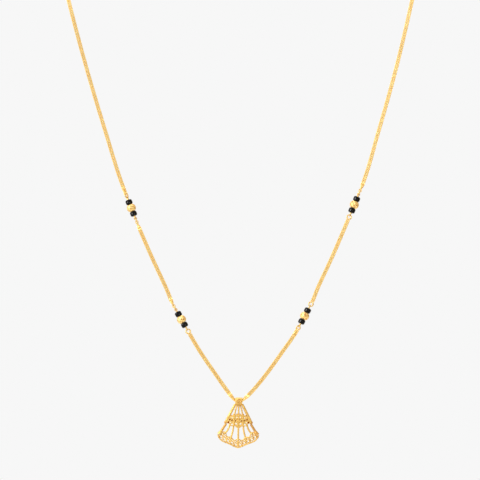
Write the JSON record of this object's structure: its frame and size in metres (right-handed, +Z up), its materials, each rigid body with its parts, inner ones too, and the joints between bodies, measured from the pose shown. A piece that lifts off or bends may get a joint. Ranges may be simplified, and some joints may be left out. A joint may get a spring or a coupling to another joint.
{
  "type": "mangalsutra necklace",
  "caption": "Fine double-strand gold chain with small groups of black and gold beads and an open-work fan pendant that swings on its bail.",
  "frame": {"origin": "the nape of the neck, at the middle of the clasp, where the worn chain rests", "axes": "+Z up along the wearer, +X to the viewer's right, -Y to the front of the wearer"},
  "size_m": [0.1448, 0.0989, 0.2164],
  "materials": {
    "chain_gold": "bright polished yellow gold chain",
    "wire_gold": "polished yellow gold wire",
    "cut_gold": "diamond-cut yellow gold",
    "pendant_gold": "polished and frosted yellow gold lace",
    "black_bead": "glossy opaque black glass"
  },
  "bodies": {
    "necklace": {"upper_left_front": "chain_gold", "upper_left_back": "chain_gold", "upper_right_front": "chain_gold", "upper_right_back": "chain_gold", "side_left_front": "chain_gold", "side_left_back": "chain_gold", "side_right_front": "chain_gold", "side_right_back": "chain_gold", "lower_front": "chain_gold", "lower_back": "chain_gold", "ring_nape_left": "wire_gold", "ring_nape_right": "wire_gold", "ring_high_left_top": "wire_gold", "ring_high_left_end": "wire_gold", "ring_low_left_top": "wire_gold", "ring_low_left_end": "wire_gold", "ring_high_right_top": "wire_gold", "ring_high_right_end": "wire_gold", "ring_low_right_top": "wire_gold", "ring_low_right_end": "wire_gold", "wire_high_left": "wire_gold", "wire_low_left": "wire_gold", "wire_high_right": "wire_gold", "wire_low_right": "wire_gold", "ball_high_left": "cut_gold", "ball_low_left": "cut_gold", "ball_high_right": "cut_gold", "ball_low_right": "cut_gold", "bead_high_left_1": "black_bead", "bead_high_left_2": "black_bead", "bead_low_left_1": "black_bead", "bead_low_left_2": "black_bead", "bead_high_right_1": "black_bead", "bead_high_right_2": "black_bead", "bead_low_right_1": "black_bead", "bead_low_right_2": "black_bead", "clasp": "wire_gold"},
    "pendant": {"pendant": "pendant_gold"}
  },
  "joints": [
    {"name": "pendant_swing", "type": "hinge", "parent": "necklace", "child": "pendant", "pos_m": [-0.0006, -0.096, -0.1955], "axis": [1, 0, 0], "range_deg": [-60, 60]}
  ]
}
